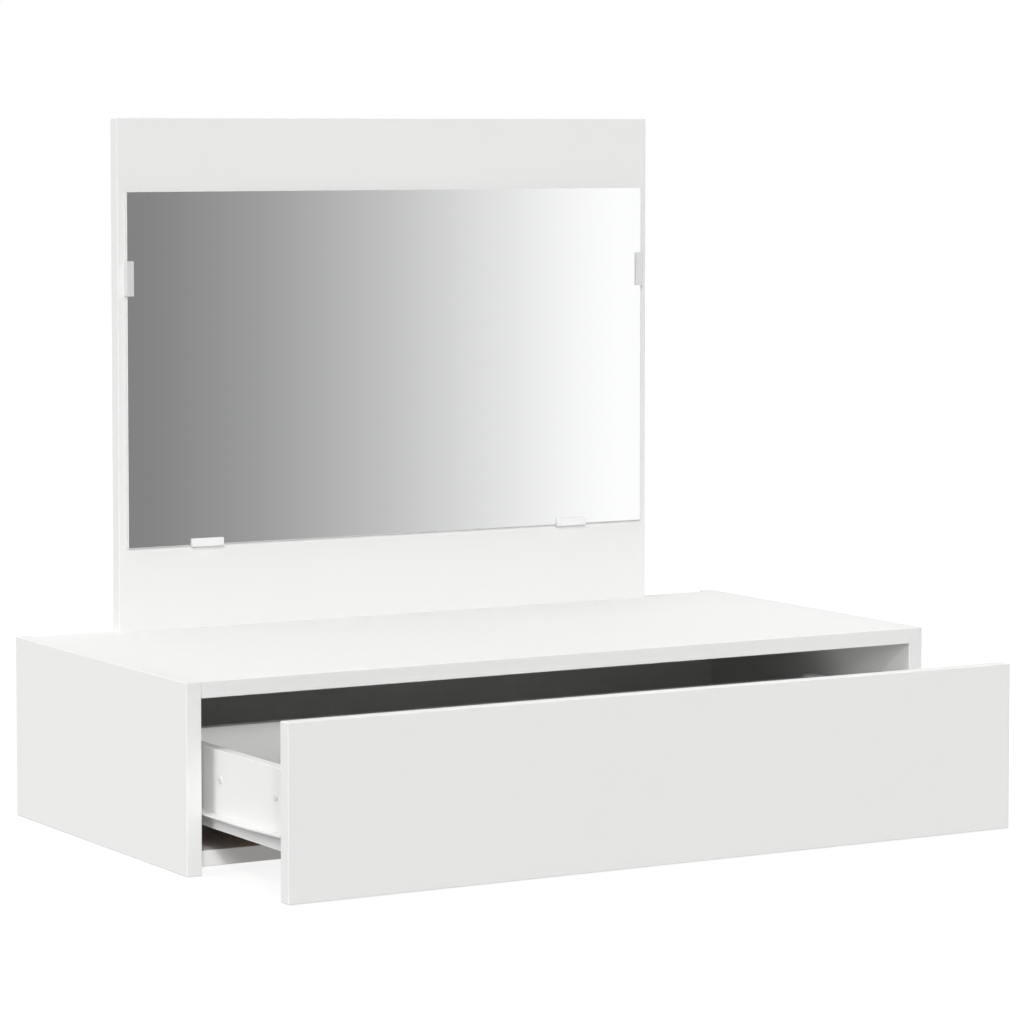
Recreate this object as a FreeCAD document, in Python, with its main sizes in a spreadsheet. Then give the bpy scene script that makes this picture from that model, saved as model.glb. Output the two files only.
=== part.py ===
import FreeCAD, Part
import os
import re

import Sketcher
from FreeCAD import Placement, Rotation, Vector

# A wall-hung dressing table of white melamine-faced boards: a shallow box with one wide inset drawer on
# roller runners, and an upright board behind it that carries a plain mirror in four plastic clips.
# X runs across, +Y towards the wall and +Z up, in millimetres. The origin lies on the base, under the
# middle of the table's outer box, with the drawer standing open by drawer_open.

# Driving dimensions: name, millimetres, meaning.
SIZES = (
    ("width", 800, "cabinet across, outside"),
    ("depth", 380, "side panels from front to back"),
    ("height", 174, "side panels, and the table's surface above the base"),
    ("board", 15, "thickness of cabinet boards, drawer front and mirror board"),
    ("edge_round", 0.8, "radius of the banded board edges"),
    ("rear_recess", 9, "top, back and mirror board stop this short of the side panels' rear edges"),
    ("bottom_setback", 40, "bottom panel behind the side panels' front edges"),
    ("drawer_open", 165, "how far the drawer stands open at rest"),
    ("mirror_board_width", 602, "mirror board across"),
    ("mirror_board_height", 500, "mirror board above the table's surface"),
    ("mirror_width", 586, "glass across"),
    ("mirror_height", 347, "glass from bottom to top"),
    ("mirror_lift", 82, "glass above the table's surface"),
    ("glass", 4, "thickness of the glass"),
    ("glass_bevel", 0.6, "ground edge of the glass"),
    ("clip_length", 34, "mirror clip along the glass edge"),
    ("clip_base", 1.2, "clip beside the glass edge"),
    ("clip_lap", 6.8, "clip lip over the glass"),
    ("clip_lip", 2.6, "thickness of the lip at its root"),
    ("clip_tip", 1.6, "thickness of the lip at its tip"),
    ("clip_round", 0.3, "radius of the clip's edges"),
    ("clip_gap", 0.1, "play between a clip and the glass"),
    ("clip_spread", 416, "between the middles of the two lower clips"),
    ("side_clip_lift", 344.5, "middle of the side clips above the table's surface"),
    ("tongue_width", 24, "flat tongue that holds a clip in the mirror board"),
    ("tongue_length", 8, "tongue in the board"),
    ("front_gap", 2, "drawer front to each side panel"),
    ("front_top_gap", 1, "drawer front to the top panel"),
    ("front_lift", 1, "drawer front above the base"),
    ("side_clearance", 12.5, "runner space between side panel and drawer side"),
    ("drawer_board", 12, "thickness of drawer sides and back"),
    ("drawer_length", 300, "drawer sides"),
    ("drawer_height", 70, "drawer sides"),
    ("drawer_lift", 43, "drawer sides above the base"),
    ("back_drop", 3, "drawer back below the top of the sides"),
    ("drawer_floor", 3, "thickness of the drawer bottom"),
    ("floor_lift", 10, "drawer bottom above the lower edge of the sides"),
    ("groove", 6, "depth of the grooves for the drawer bottom"),
    ("fit", 0.05, "play all round a pressed, screwed or turning piece"),
    ("steel", 1.2, "runner sheet"),
    ("rail_length", 300, "both runner members"),
    ("rail_setback", 26, "cabinet member behind the side panels' front edges"),
    ("rail_lift", 36.4, "cabinet member above the base"),
    ("rail_height", 21.1, "cabinet member"),
    ("rail_notch", 62, "upper flange cut away at the front, to lift the drawer out"),
    ("rail_reach", 10.8, "cabinet member's flanges"),
    ("rail_screw_rise", 9.4, "cabinet member's screws above its lower flange"),
    ("rail_screw_inset", 40, "end screws of both members from the rail's ends"),
    ("drawer_rail_gap", 1, "drawer member behind the drawer front"),
    ("drawer_rail_height", 13.7, "drawer member"),
    ("flange_gap", 1.8, "drawer member's flange to the side panel"),
    ("ramp_length", 70, "front part of the flange, which rises so that the drawer runs home"),
    ("ramp_rise", 2.5, "rise of that part at its front end"),
    ("roller_diameter", 16, "nylon rollers"),
    ("roller_width", 7, "nylon rollers"),
    ("roller_start", 3.6, "rollers from the side panel"),
    ("roller_inset", 14, "roller axle from its rail's end"),
    ("roller_gap", 0.3, "roller to the flange that runs on it"),
    ("roller_round", 0.8, "broken edge of a roller's tread"),
    ("axle_diameter", 6, "journal of the roller axles"),
    ("axle_shank", 5, "riveted end of the axle in the rail's web"),
    ("axle_collar", 8, "collar between rail and roller"),
    ("axle_head", 9, "head sunk in the roller"),
    ("axle_head_height", 1.1, "head sunk in the roller"),
    ("head_sink", 1.5, "recess of the axle head in the roller"),
    ("head_clear", 0.5, "play round the axle head"),
    ("end_play", 0.1, "roller along its axle"),
    ("dowel_diameter", 8, "cabinet dowels"),
    ("dowel_length", 30, "cabinet dowels"),
    ("dowel_sink", 10, "dowel in the crossing board"),
    ("dowel_bevel", 1, "dowel ends"),
    ("small_dowel_diameter", 6, "drawer dowels"),
    ("cam_diameter", 15, "cam lock housings"),
    ("cam_height", 12, "cam lock in a cabinet board"),
    ("small_cam_height", 9.4, "cam lock in a drawer side"),
    ("cam_distance", 24, "cam lock from the joint"),
    ("bolt_sink", 10, "cam bolt's thread in the crossing board"),
    ("bolt_thread", 6, "cam bolt thread"),
    ("bolt_shaft", 5, "cam bolt shaft"),
    ("bolt_neck", 3.6, "cam bolt neck behind the head"),
    ("bolt_head", 6.4, "cam bolt head"),
    ("bolt_head_height", 2.5, "cam bolt head"),
    ("bolt_bore", 7, "bore for the cam bolt in the board's end"),
    ("cam_inset", 50, "cam bolts from a joint's ends"),
    ("dowel_inset", 90, "dowels from a joint's ends"),
    ("back_dowel_inset", 40, "dowels of the back panel from base and surface"),
    ("screw_diameter", 3.5, "chipboard screws"),
    ("screw_length", 12, "chipboard screws in the board"),
    ("screw_head", 7, "pan head"),
    ("screw_head_height", 2, "pan head"),
    ("short_screw_length", 10, "screws up into the drawer sides"),
    ("long_screw_length", 38, "screws through the drawer sides into the back"),
    ("recess_length", 4, "cross recess of a screw"),
    ("recess_width", 1, "cross recess of a screw"),
    ("recess_depth", 1.1, "cross recess of a screw"),
    ("cam_slot_length", 9, "cross recess of a cam lock"),
    ("cam_slot_width", 1.8, "cross recess of a cam lock"),
    ("cam_slot_depth", 2, "cross recess of a cam lock"),
    ("wall_hole", 6, "wall screw holes in the back panel"),
    ("wall_spread", 640, "between the wall holes, across"),
    ("wall_rise", 90, "between the wall holes, upwards"),
    ("plate", 2, "joining plates behind the mirror board"),
    ("plate_width", 30, "joining plate"),
    ("plate_length", 140, "joining plate"),
    ("plate_round", 5, "joining plate corners"),
    ("plate_spread", 400, "between the middles of the joining plates"),
    ("plate_lift", 104, "joining plate above the base"),
    ("plate_screw_inset", 15, "joining plate's end screws from its ends"),
    ("plate_screw_step", 25, "joining plate's inner screws from the end screws"),
    ("board_dowel_near", 120, "mirror board dowels from the middle"),
    ("board_dowel_far", 260, "mirror board dowels from the middle"),
    ("cap_diameter", 6.6, "hole caps on the drawer sides"),
    ("cap_rise", 1.2, "head of a hole cap"),
    ("cap_plug", 4.6, "plug of a hole cap"),
    ("cap_plug_length", 3, "plug of a hole cap"),
    ("cap_near", 29, "first cap behind the drawer front"),
    ("cap_far", 137, "second cap behind the drawer front"),
    ("cap_lift", 44, "caps above the lower edge of the drawer side"),
    ("drawer_cam_low", 31, "lower cam lock above the lower edge of the drawer side"),
    ("drawer_cam_high", 58, "upper cam lock above the lower edge of the drawer side"),
    ("drawer_dowel_low", 19, "lower dowel above the lower edge of the drawer side"),
    ("drawer_dowel_high", 45, "upper dowel above the lower edge of the drawer side"),
    ("back_screw_low", 26, "lower back screw above the lower edge of the drawer side"),
    ("back_screw_high", 54, "upper back screw above the lower edge of the drawer side"),
    ("floor_screw_spread", 300, "between the screws that hold the drawer bottom to the back"),
)

doc = FreeCAD.newDocument("dressing_table")
sheet = doc.addObject("Spreadsheet::Sheet", "Sizes")
for row, (name, millimetres, meaning) in enumerate(SIZES, start=1):
    sheet.set(f"A{row}", meaning)
    sheet.set(f"B{row}", str(millimetres))
    sheet.setAlias(f"B{row}", name)
doc.recompute()

NAMES = {name for name, _, _ in SIZES}
RIGHT, REARWARD, UP = Vector(1, 0, 0), Vector(0, 1, 0), Vector(0, 0, 1)


def formula(text):
    """A formula for the document, with each size's name read from its cell."""
    return re.sub(r"[a-z_]+", lambda word: f"Sizes.{word[0]}" if word[0] in NAMES else word[0], text)


def value(text):
    return float(sheet.evalExpression(formula(text)))


def bind(thing, prop, text):
    thing.setExpression(prop, formula(text))


def move_to(thing, place):
    for axis, text in zip("xyz", place):
        bind(thing, f"Placement.Base.{axis}", text)


# Sketches and features.

def new_body(label, place=("0", "0", "0"), turn=None):
    body = doc.addObject("PartDesign::Body", label)
    if turn:
        body.Placement = Placement(Vector(), turn)
    move_to(body, place)
    return body


def new_sketch(body, plane, level="0"):
    """A sketch on the body's own XY, XZ or YZ plane, moved along the third axis to level."""
    support = next(f for f in body.Origin.OriginFeatures if f.Role == plane + "_Plane")
    sketch = body.newObject("Sketcher::SketchObject", body.Name + "_sketch")
    sketch.AttachmentSupport = [(support, "")]
    sketch.MapMode = "FlatFace"
    bind(sketch, "AttachmentOffset.Base.z", f"-({level})" if plane == "XZ" else level)
    return sketch


def place_point(sketch, element, end, x, y):
    """Fixes a point of a sketch element at formulas x and y from the sketch's origin."""
    for kind, axis, text in (("DistanceX", -2, x), ("DistanceY", -1, y)):
        number = value(text)
        if abs(number) < 1e-9:
            sketch.addConstraint(Sketcher.Constraint("PointOnObject", element, end, axis))
        elif number > 0:
            index = sketch.addConstraint(Sketcher.Constraint(kind, -1, 1, element, end, number))
            bind(sketch, f"Constraints[{index}]", text)
        else:
            index = sketch.addConstraint(Sketcher.Constraint(kind, element, end, -1, 1, -number))
            bind(sketch, f"Constraints[{index}]", f"-({text})")


def add_outline(sketch, points):
    """A closed outline of straight lines through points given as pairs of formulas."""
    corners = [Vector(value(x), value(y), 0) for x, y in points]
    first, count = sketch.GeometryCount, len(corners)
    for i, corner in enumerate(corners):
        sketch.addGeometry(Part.LineSegment(corner, corners[(i + 1) % count]))
    for i, (x, y) in enumerate(points):
        sketch.addConstraint(Sketcher.Constraint("Coincident", first + i, 2, first + (i + 1) % count, 1))
        place_point(sketch, first + i, 1, x, y)


def add_rectangle(sketch, low, high):
    (x0, y0), (x1, y1) = low, high
    add_outline(sketch, [(x0, y0), (x1, y0), (x1, y1), (x0, y1)])


def add_circles(sketch, centres, diameter):
    for x, y in centres:
        circle = Part.Circle(Vector(value(x), value(y), 0), UP, value(diameter) / 2)
        element = sketch.addGeometry(circle)
        place_point(sketch, element, 3, x, y)
        index = sketch.addConstraint(Sketcher.Constraint("Diameter", element, value(diameter)))
        bind(sketch, f"Constraints[{index}]", diameter)


def extrude(body, kind, sketch, length, against_normal):
    feature = body.newObject("PartDesign::" + kind, f"{body.Name}_{kind.lower()}")
    feature.Profile = sketch
    feature.Reversed = against_normal
    bind(feature, "Length", length)
    doc.recompute()


def pad(body, sketch, plane, length):
    """Material from the sketch towards +X, +Y or +Z. The XZ plane's own normal points to -Y."""
    extrude(body, "Pad", sketch, length, plane == "XZ")


def pocket(body, sketch, plane, towards, depth):
    """A cut from the sketch towards the plus (1) or minus (-1) end of the plane's axis."""
    before = body.Shape.Volume
    extrude(body, "Pocket", sketch, depth, (towards > 0) != (plane == "XZ"))
    if body.Shape.Volume >= before:
        raise RuntimeError(f"a pocket of {body.Label} cut nothing")


def drill(body, plane, level, towards, centres, diameter, depth):
    sketch = new_sketch(body, plane, level)
    add_circles(sketch, centres, diameter)
    pocket(body, sketch, plane, towards, depth)


def mill(body, plane, level, towards, low, high, depth):
    sketch = new_sketch(body, plane, level)
    add_rectangle(sketch, low, high)
    pocket(body, sketch, plane, towards, depth)


def dress_edges(body, kind, size_name, size, faces):
    """Rounds or bevels the edges of a box that are named by their two faces, such as y0z1."""
    base = body.Tip
    box = base.Shape.BoundBox
    limits = {"x0": (0, box.XMin), "x1": (0, box.XMax), "y0": (1, box.YMin),
              "y1": (1, box.YMax), "z0": (2, box.ZMin), "z1": (2, box.ZMax)}
    chosen = []
    for number, edge in enumerate(base.Shape.Edges, start=1):
        for pair in faces.split():
            sides = [limits[pair[:2]], limits[pair[2:]]]
            if all(abs(edge.CenterOfMass[axis] - limit) < 1e-6 for axis, limit in sides):
                chosen.append(f"Edge{number}")
    feature = body.newObject("PartDesign::" + kind, f"{body.Name}_{kind.lower()}")
    feature.Base = (base, chosen)
    bind(feature, size_name, size)
    doc.recompute()


ALL_EDGES = "x0y0 x0y1 x1y0 x1y1 x0z0 x0z1 x1z0 x1z1 y0z0 y0z1 y1z0 y1z1"


def make_board(label, place, size, rounded=""):
    """A rectangular board with its low corner at place, and the named edges rounded."""
    body = new_body(label, place)
    sketch = new_sketch(body, "XY")
    add_rectangle(sketch, ("0", "0"), (size[0], size[1]))
    pad(body, sketch, "XY", size[2])
    if rounded:
        dress_edges(body, "Fillet", "Radius", "edge_round", rounded)
    return body


def make_turned(label, profile, place=("0", "0", "0")):
    """A turned piece: points of distance along X and radius, spun about X."""
    body = new_body(label, place)
    sketch = new_sketch(body, "XY")
    add_outline(sketch, profile)
    spin = body.newObject("PartDesign::Revolution", label + "_spin")
    spin.Profile = sketch
    spin.ReferenceAxis = (sketch, ["H_Axis"])
    spin.Angle = 360
    doc.recompute()
    return body


def cut_cross(body, length, width, depth):
    """A cross recess in the end of a turned piece that faces -X."""
    for long_way, short_way in ((length, width), (width, length)):
        low = (f"-{long_way} / 2", f"-{short_way} / 2")
        mill(body, "YZ", "0", 1, low, (f"{long_way} / 2", f"{short_way} / 2"), depth)


# Nodes and groups.

nodes = []


def keep(thing):
    """Marks a finished piece as a sub-part of the table."""
    nodes.append(thing)
    return thing


def mirrored(label, source):
    copy = doc.addObject("Part::Mirroring", label)
    copy.Source = source
    copy.Normal = RIGHT
    copy.Base = Vector()
    return copy


def keep_pair(name, left):
    """A left-hand piece and its mirror image on the right."""
    keep(left)
    keep(mirrored(name + "_right", left))


def link_copies(label, master, places, turn):
    links = []
    for place in places:
        link = doc.addObject("App::Link", label + "_copy")
        link.LinkedObject = master
        link.Placement = Placement(Vector(), turn)
        move_to(link, place)
        links.append(link)
    return links


def keep_group(label, left_copies):
    """Like fasteners as one sub-part: the left-hand copies and their mirror images."""
    left = doc.addObject("Part::Compound", label + "_left")
    left.Links = left_copies
    group = doc.addObject("Part::Compound", label)
    group.Links = [left, mirrored(label + "_right", left)]
    keep(group)


# Places that more than one piece needs.

FRONT = "(-(depth - drawer_open) / 2)"
REAR = f"({FRONT} + depth)"
BACK = f"({REAR} - rear_recess)"
INNER = "(board - width / 2)"
CLEAR = "(width - 2 * board)"
UNDER = "(height - board)"
PANEL_DEPTH = "(depth - rear_recess)"
DRAWER_FACE = f"({FRONT} - drawer_open)"
DRAWER_START = f"({DRAWER_FACE} + board)"
DRAWER_SIDE = f"({INNER} + side_clearance)"

DOWEL_HOLE = "dowel_diameter + 2 * fit"
DOWEL_REST = "(dowel_length - dowel_sink)"
SMALL_DOWEL_HOLE = "small_dowel_diameter + 2 * fit"
THREAD_HOLE = "bolt_thread + 2 * fit"
CAM_HOLE = "cam_diameter + 2 * fit"
SCREW_HOLE = "screw_diameter + 2 * fit"

# Joints of the cabinet, as distances behind the side panels' front edges and above the base.

TOP_LINE = "height - board / 2"
BOTTOM_LINE = "board / 2"
BACK_LINE = "depth - rear_recess - board / 2"
TOP_CAMS = ("cam_inset", "depth - rear_recess - cam_inset")
TOP_DOWELS = ("dowel_inset", "depth - rear_recess - dowel_inset")
BOTTOM_CAMS = ("bottom_setback + cam_inset", "depth - rear_recess - cam_inset")
BOTTOM_DOWELS = ("bottom_setback + dowel_inset", "depth - rear_recess - dowel_inset")
BACK_CAM = "height / 2"
BACK_DOWELS = ("back_dowel_inset", "height - back_dowel_inset")

cam_points = [(y, TOP_LINE) for y in TOP_CAMS]
cam_points += [(y, BOTTOM_LINE) for y in BOTTOM_CAMS]
cam_points += [(BACK_LINE, BACK_CAM)]
dowel_points = [(y, TOP_LINE) for y in TOP_DOWELS]
dowel_points += [(y, BOTTOM_LINE) for y in BOTTOM_DOWELS]
dowel_points += [(BACK_LINE, z) for z in BACK_DOWELS]

# Runner screws, as distances along a rail.

RAIL_SCREWS = ("rail_screw_inset", "rail_length / 2", "rail_length - rail_screw_inset")

# The side panels carry everything: blind holes on the inner face take dowels, cam bolts and runner screws.

side = make_board("side_panel_left", ("-width / 2", FRONT, "0"), ("board", "depth", "height"),
                  "x0y0 x0y1 x1y0 x1y1 x0z0 x0z1 y0z0 y0z1 y1z0 y1z1")
drill(side, "YZ", "board", -1, dowel_points, DOWEL_HOLE, "dowel_sink + end_play")
drill(side, "YZ", "board", -1, cam_points, THREAD_HOLE, "bolt_sink + end_play")
rail_points = [(f"rail_setback + {y}", "rail_lift + rail_screw_rise") for y in RAIL_SCREWS]
drill(side, "YZ", "board", -1, rail_points, SCREW_HOLE, "screw_length - steel + end_play")
keep_pair("side_panel", side)


def drill_ends(panel, cams, dowels):
    """Bores in both ends of a panel for cam bolts and dowels, given as points on the YZ plane."""
    for level, towards in (("0", 1), (CLEAR, -1)):
        drill(panel, "YZ", level, towards, dowels, DOWEL_HOLE, f"{DOWEL_REST} + end_play")
        drill(panel, "YZ", level, towards, cams, "bolt_bore", "cam_distance")


def cam_columns(rows):
    """Cam lock centres near both ends of a panel, at the given distances across it."""
    return [(x, row) for x in ("cam_distance", f"{CLEAR} - cam_distance") for row in rows]


# The top lies between the side panels. Its cam locks are let in from below, out of sight.

BOARD_DOWELS = [f"{CLEAR} / 2 {sign} {x}" for x in ("board_dowel_near", "board_dowel_far") for sign in "-+"]

top = make_board("top_panel", (INNER, FRONT, UNDER), (CLEAR, PANEL_DEPTH, "board"), "y0z0 y0z1 y1z1")
drill_ends(top, [(y, "board / 2") for y in TOP_CAMS], [(y, "board / 2") for y in TOP_DOWELS])
drill(top, "XY", "0", 1, cam_columns(TOP_CAMS), CAM_HOLE, "cam_height + end_play")
drill(top, "XY", "board", -1, [(x, BACK_LINE) for x in BOARD_DOWELS], DOWEL_HOLE, "dowel_sink + end_play")
keep(top)

# The bottom stands back from the front, so that fingers reach the drawer front's lower edge.

bottom = make_board("bottom_panel", (INNER, f"{FRONT} + bottom_setback", "0"),
                    (CLEAR, f"{PANEL_DEPTH} - bottom_setback", "board"), "y0z0 y0z1")
bottom_cam_rows = [f"{y} - bottom_setback" for y in BOTTOM_CAMS]
bottom_dowel_rows = [f"{y} - bottom_setback" for y in BOTTOM_DOWELS]
drill_ends(bottom, [(y, "board / 2") for y in bottom_cam_rows],
           [(y, "board / 2") for y in bottom_dowel_rows])
drill(bottom, "XY", "board", -1, cam_columns(bottom_cam_rows), CAM_HOLE, "cam_height + end_play")
keep(bottom)

# The back panel closes the box and takes the wall screws and the lower half of the joining plates.

PLATE_MIDDLES = [f"{CLEAR} / 2 {sign} plate_spread / 2" for sign in "-+"]
LOWER_PLATE_SCREWS = ("plate_screw_inset", "(plate_screw_inset + plate_screw_step)")
UPPER_PLATE_SCREWS = [f"plate_length - {z}" for z in LOWER_PLATE_SCREWS]

back = make_board("back_panel", (INNER, f"{BACK} - board", "board"), (CLEAR, "board", f"{UNDER} - board"))
drill_ends(back, [("board / 2", f"{BACK_CAM} - board")],
           [("board / 2", f"{z} - board") for z in BACK_DOWELS])
drill(back, "XZ", "board", -1, cam_columns([f"{BACK_CAM} - board"]), CAM_HOLE, "cam_height + end_play")
wall_points = [(f"{CLEAR} / 2 {x} wall_spread / 2", f"{BACK_CAM} - board {z} wall_rise / 2")
               for x in "-+" for z in "-+"]
drill(back, "XZ", "0", 1, wall_points, "wall_hole", "board")
lower_plate_points = [(x, f"plate_lift - board + {z}") for x in PLATE_MIDDLES for z in LOWER_PLATE_SCREWS]
drill(back, "XZ", "board", -1, lower_plate_points, SCREW_HOLE, "screw_length - plate + end_play")
keep(back)

# The mirror board stands on the top's rear edge, on dowels.

mirror_board = make_board("mirror_board", ("-mirror_board_width / 2", f"{BACK} - board", "height"),
                          ("mirror_board_width", "board", "mirror_board_height"),
                          "x0y0 x0y1 x1y0 x1y1 x0z1 x1z1 y0z1 y1z1")
foot_points = [(f"mirror_board_width / 2 {sign} {x}", "board / 2")
               for x in ("board_dowel_near", "board_dowel_far") for sign in "-+"]
drill(mirror_board, "XY", "0", 1, foot_points, DOWEL_HOLE, f"{DOWEL_REST} + end_play")
upper_plate_points = [(f"mirror_board_width / 2 {sign} plate_spread / 2", f"plate_lift - height + {z}")
                      for sign in "-+" for z in UPPER_PLATE_SCREWS]
drill(mirror_board, "XZ", "board", -1, upper_plate_points, SCREW_HOLE, "screw_length - plate + end_play")

# Slots along the glass edge take the clips' tongues, two lying below the glass and one upright each side.

MIDDLE = "mirror_board_width / 2"
SLOT = "(tongue_width / 2 + fit)"
slots = new_sketch(mirror_board, "XZ")
for sign in "-+":
    low = (f"{MIDDLE} {sign} clip_spread / 2 - {SLOT}", "mirror_lift - clip_gap - clip_base - fit")
    add_rectangle(slots, low, (f"{MIDDLE} {sign} clip_spread / 2 + {SLOT}", "mirror_lift - clip_gap + fit"))
    near = f"{MIDDLE} {sign} (mirror_width / 2 + clip_gap - fit)"
    far = f"{MIDDLE} {sign} (mirror_width / 2 + clip_gap + clip_base + fit)"
    add_rectangle(slots, (near, f"side_clip_lift - {SLOT}"), (far, f"side_clip_lift + {SLOT}"))
pocket(mirror_board, slots, "XZ", 1, "tongue_length + end_play")
keep(mirror_board)

# The mirror is one sheet of silvered glass with a ground edge.

GLASS_FACE = f"{BACK} - board - glass"
mirror = make_board("mirror_glass", ("-mirror_width / 2", GLASS_FACE, "height + mirror_lift"),
                    ("mirror_width", "glass", "mirror_height"))
dress_edges(mirror, "Chamfer", "Size", "glass_bevel", "x0y0 x1y0 y0z0 y0z1")
keep(mirror)


# A mirror clip: a strip along the glass edge, with a tapered lip over the glass and a flat tongue behind.

CLIP_DEPTH = "(clip_lip + clip_gap + glass)"


def make_clip(label, place, turn=None):
    body = new_body(label, place, turn)
    sketch = new_sketch(body, "YZ", "-clip_length / 2")
    tip = "clip_base + clip_lap"
    add_outline(sketch, [("0", "0"), (CLIP_DEPTH, "0"), (CLIP_DEPTH, "clip_base"), ("clip_lip", "clip_base"),
                         ("clip_lip", tip), ("clip_lip - clip_tip", tip), ("0", "clip_base")])
    pad(body, sketch, "YZ", "clip_length")
    dress_edges(body, "Fillet", "Radius", "clip_round", "x0z0 x1z0 x0z1 x1z1 y0z0")
    tongue = new_sketch(body, "XZ", CLIP_DEPTH)
    add_rectangle(tongue, ("-tongue_width / 2", "0"), ("tongue_width / 2", "clip_base"))
    pad(body, tongue, "XZ", "tongue_length")
    return body


CLIP_FACE = f"{BACK} - board - {CLIP_DEPTH}"
LOWER_CLIP = ("-clip_spread / 2", CLIP_FACE, "height + mirror_lift - clip_gap - clip_base")
SIDE_CLIP = ("-mirror_width / 2 - clip_gap - clip_base", CLIP_FACE, "height + side_clip_lift")
keep_pair("mirror_clip_bottom", make_clip("mirror_clip_bottom_left", LOWER_CLIP))
keep_pair("mirror_clip_side", make_clip("mirror_clip_side_left", SIDE_CLIP, Rotation(REARWARD, 90)))

# Joining plates: flat steel in the recess behind, half on the back panel and half on the mirror board.

plate = make_board("joining_plate_left", ("-plate_spread / 2 - plate_width / 2", BACK, "plate_lift"),
                   ("plate_width", "plate", "plate_length"))
dress_edges(plate, "Fillet", "Radius", "plate_round", "x0z0 x0z1 x1z0 x1z1")
plate_holes = [("plate_width / 2", z) for z in (*LOWER_PLATE_SCREWS, *UPPER_PLATE_SCREWS)]
drill(plate, "XZ", "0", 1, plate_holes, SCREW_HOLE, "plate")
keep_pair("joining_plate", plate)

# Cabinet runner members: a steel channel screwed to the side panel, with a roller near its front end.

FRONT_ROLLER_Z = "(drawer_lift - steel + drawer_rail_height - steel - roller_gap - roller_diameter / 2)"
REAR_ROLLER_Z = "(rail_lift + steel + roller_gap + roller_diameter / 2)"
RAIL_START = f"({FRONT} + rail_setback)"
DRAWER_RAIL_START = f"({DRAWER_START} + drawer_rail_gap)"
SHANK_HOLE = "axle_shank + 2 * fit"

rail = new_body("cabinet_runner_left", (INNER, RAIL_START, "rail_lift"))
channel = new_sketch(rail, "XZ")
add_outline(channel, [("0", "0"), ("rail_reach", "0"), ("rail_reach", "steel"), ("steel", "steel"),
                      ("steel", "rail_height - steel"), ("rail_reach", "rail_height - steel"),
                      ("rail_reach", "rail_height"), ("0", "rail_height")])
pad(rail, channel, "XZ", "rail_length")
mill(rail, "XY", "rail_height", -1, ("steel", "0"), ("rail_reach", "rail_notch"), "steel")
drill(rail, "YZ", "0", 1, [(y, "rail_screw_rise") for y in RAIL_SCREWS], SCREW_HOLE, "steel")
drill(rail, "YZ", "0", 1, [("roller_inset", f"{FRONT_ROLLER_Z} - rail_lift")], SHANK_HOLE, "steel")
keep_pair("cabinet_runner", rail)

# Drawer runner members: a web on the drawer side, a foot under it, and a flange that runs on the cabinet's
# roller. The flange rises towards its front end, so that the drawer rolls home by itself.

WEB = "(side_clearance - flange_gap - steel)"
FLANGE = "(drawer_rail_height - steel)"
drawer_rail = new_body("drawer_runner_left",
                       (f"{INNER} + flange_gap", DRAWER_RAIL_START, "drawer_lift - steel"))
foot = new_sketch(drawer_rail, "XZ")
add_rectangle(foot, (WEB, "0"), (f"{WEB} + steel + drawer_board", "steel"))
pad(drawer_rail, foot, "XZ", "rail_length")
upper_edge = [("rail_length", "drawer_rail_height"), ("ramp_length", "drawer_rail_height"),
              ("0", "drawer_rail_height + ramp_rise")]
web = new_sketch(drawer_rail, "YZ", WEB)
add_outline(web, [("0", "0"), ("rail_length", "0"), *upper_edge])
pad(drawer_rail, web, "YZ", "steel")
flange = new_sketch(drawer_rail, "YZ")
add_outline(flange, [("0", f"{FLANGE} + ramp_rise"), ("ramp_length", FLANGE), ("rail_length", FLANGE),
                     *upper_edge])
pad(drawer_rail, flange, "YZ", f"{WEB} + steel")
foot_screws = [(f"{WEB} + steel + drawer_board / 2", y) for y in RAIL_SCREWS]
drill(drawer_rail, "XY", "0", 1, foot_screws, SCREW_HOLE, "steel")
drill(drawer_rail, "YZ", WEB, 1, [("rail_length - roller_inset", f"{REAR_ROLLER_Z} - drawer_lift + steel")],
      SHANK_HOLE, "steel")
keep_pair("drawer_runner", drawer_rail)


# Rollers: nylon, with a running bore and a recess that hides the head of the axle.

def make_roller(label, place, recess_at_start):
    tread, bore = "roller_diameter / 2", "axle_diameter / 2 + fit"
    sink, wide, corner = "head_sink", "axle_head / 2 + head_clear", "roller_round"
    profile = [("0", wide), ("0", f"{tread} - {corner}"), (corner, tread),
               (f"roller_width - {corner}", tread), ("roller_width", f"{tread} - {corner}"),
               ("roller_width", bore), (sink, bore), (sink, wide)]
    if not recess_at_start:
        profile = [(f"roller_width - ({x})", radius) for x, radius in profile]
    return make_turned(label, profile, place)


FRONT_AXLE = (INNER, f"{RAIL_START} + roller_inset", FRONT_ROLLER_Z)
REAR_AXLE = (f"{INNER} + roller_start", f"{DRAWER_RAIL_START} + rail_length - roller_inset", REAR_ROLLER_Z)
FRONT_ROLLER = (f"{INNER} + roller_start", *FRONT_AXLE[1:])
keep_pair("front_roller", make_roller("front_roller_left", FRONT_ROLLER, False))
keep_pair("rear_roller", make_roller("rear_roller_left", REAR_AXLE, True))

# Axles: rivets through the rail's web, with a collar, a journal and a sunk head. Radii follow the length.

JOURNAL_END = "roller_start + roller_width - head_sink + end_play"
front_axle = make_turned("front_roller_axle_left", [
    ("0", "0"), ("0", "axle_shank / 2"), ("steel", "axle_shank / 2"), ("steel", "axle_collar / 2"),
    ("roller_start - end_play", "axle_collar / 2"), ("roller_start - end_play", "axle_diameter / 2"),
    (JOURNAL_END, "axle_diameter / 2"), (JOURNAL_END, "axle_head / 2"),
    (f"{JOURNAL_END} + axle_head_height", "axle_head / 2"), (f"{JOURNAL_END} + axle_head_height", "0"),
], FRONT_AXLE)
keep_pair("front_roller_axle", front_axle)

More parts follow.
